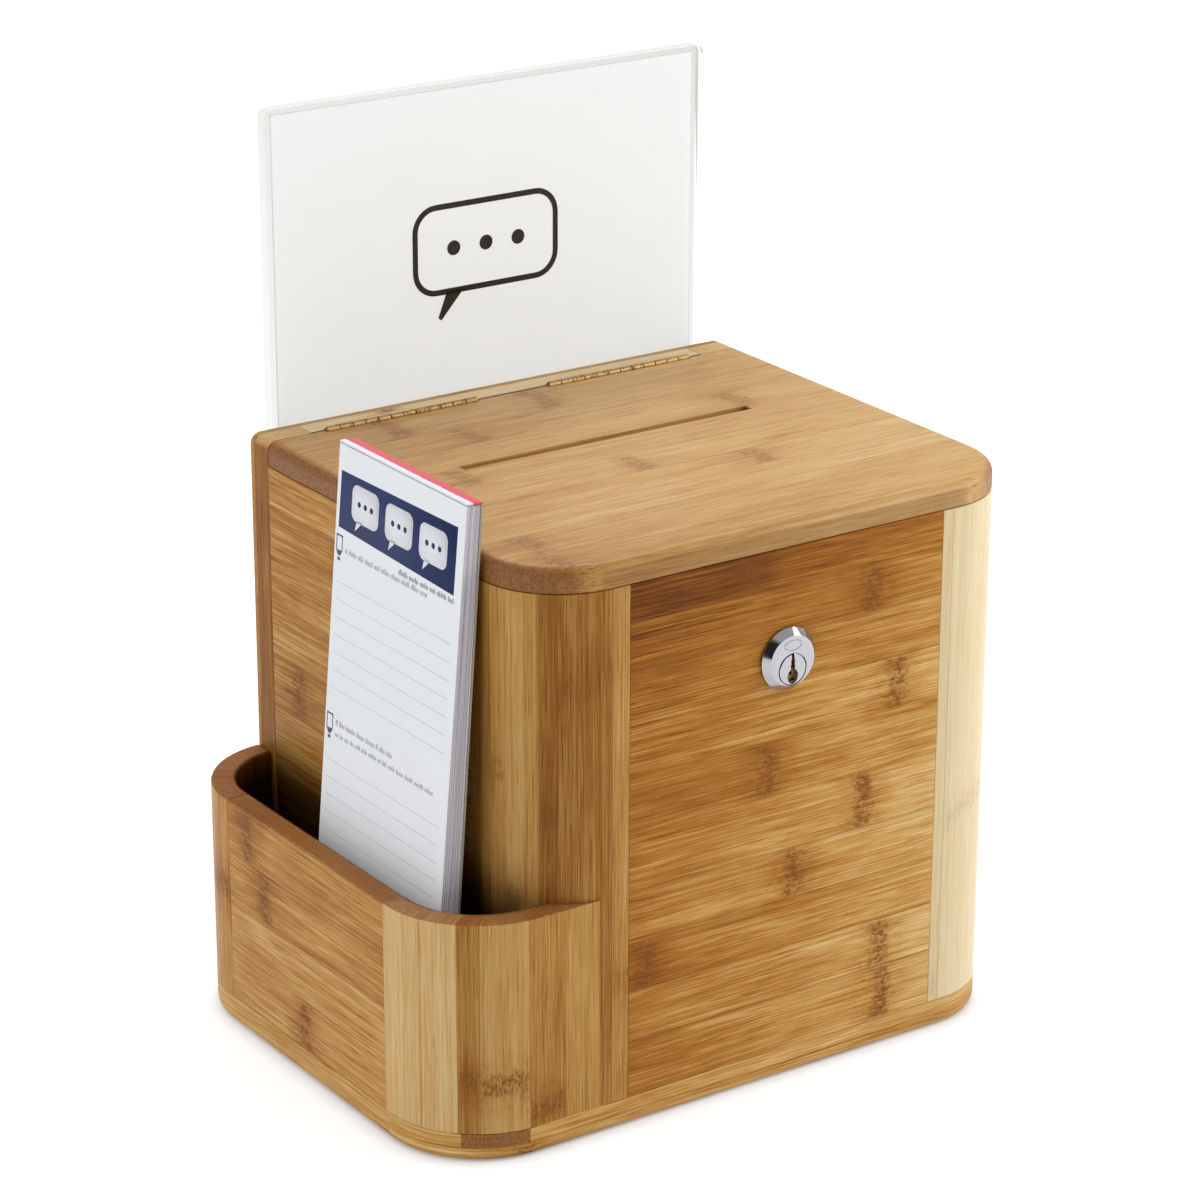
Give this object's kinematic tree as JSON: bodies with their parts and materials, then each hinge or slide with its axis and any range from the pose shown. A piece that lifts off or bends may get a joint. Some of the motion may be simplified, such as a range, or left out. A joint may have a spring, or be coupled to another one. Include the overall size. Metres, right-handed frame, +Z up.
{
  "type": "suggestion box",
  "caption": "Bamboo suggestion box with rounded front corners, slotted hinged lid, cam lock, side pocket holding a note pad, and a clear sign holder standing up behind.",
  "frame": {"origin": "middle of the whole part's footprint, on the surface that it stands on", "axes": "+Z up; the front with the lock faces -Y; the pocket is on the -X side; +X to the right seen from the front"},
  "size_m": [0.269, 0.2154, 0.36],
  "materials": {
    "bamboo": "satin lacquered laminated bamboo, mid golden",
    "bamboo_pale": "satin lacquered laminated bamboo, pale golden",
    "bamboo_amber": "satin lacquered laminated bamboo, amber with darker nodes",
    "lock_chrome": "polished chrome plate",
    "zinc_steel": "dull zinc-plated steel",
    "brass": "dull brass",
    "clear_acrylic": "clear polished acrylic",
    "sign_sheet": "matt white sheet",
    "pad_sheets": "matt white note sheets",
    "pad_card": "grey-brown backing card",
    "pad_glue": "pink-red padding glue"
  },
  "bodies": {
    "box": {"back_board": "bamboo", "back_left_post": "bamboo", "back_right_post": "bamboo", "base_board": "bamboo", "front_left_post": "bamboo", "front_panel": "bamboo_amber", "front_right_post": "bamboo_pale", "hinge_left_pin": "brass", "hinge_left_rail_leaf": "brass", "hinge_left_rail_screw_1": "brass", "hinge_left_rail_screw_2": "brass", "hinge_left_rail_screw_3": "brass", "hinge_rail": "bamboo_pale", "hinge_right_pin": "brass", "hinge_right_rail_leaf": "brass", "hinge_right_rail_screw_1": "brass", "hinge_right_rail_screw_2": "brass", "hinge_right_rail_screw_3": "brass", "left_side_panel": "bamboo", "lock_housing": "lock_chrome", "lock_nut": "zinc_steel", "pocket_back_corner": "bamboo", "pocket_front_corner": "bamboo", "pocket_side_panel": "bamboo_amber", "right_side_panel": "bamboo", "sign_holder": "clear_acrylic", "sign_screw_1": "zinc_steel", "sign_screw_2": "zinc_steel"},
    "lid": {"hinge_left_lid_leaf": "brass", "hinge_left_lid_screw_1": "brass", "hinge_left_lid_screw_2": "brass", "hinge_left_lid_screw_3": "brass", "hinge_right_lid_leaf": "brass", "hinge_right_lid_screw_1": "brass", "hinge_right_lid_screw_2": "brass", "hinge_right_lid_screw_3": "brass", "keeper_screw_1": "zinc_steel", "keeper_screw_2": "zinc_steel", "lid_board": "bamboo_pale", "lid_keeper": "zinc_steel"},
    "lock_plug_body": {"lock_plug": "lock_chrome", "lock_cam": "zinc_steel", "lock_cam_screw": "zinc_steel"},
    "pad": {"pad_paper": "pad_sheets", "pad_backing": "pad_card", "pad_binding": "pad_glue"},
    "sheet": {"insert_sheet": "sign_sheet"}
  },
  "joints": [
    {"name": "lid_hinge", "type": "hinge", "parent": "box", "child": "lid", "pos_m": [0.0195, 0.0856, 0.231], "axis": [-1, 0, 0], "range_deg": [0, 94]},
    {"name": "lock_turn", "type": "hinge", "parent": "box", "child": "lock_plug_body", "pos_m": [0.019, -0.1039, 0.173], "axis": [0, 1, 0], "range_deg": [0, 90]},
    {"name": "pad_lift", "type": "slide", "parent": "box", "child": "pad", "axis": [0, 0, 1], "range_m": [0, 0.085]},
    {"name": "sheet_lift", "type": "slide", "parent": "box", "child": "sheet", "axis": [0, 0, 1], "range_m": [0, 0.15]}
  ]
}
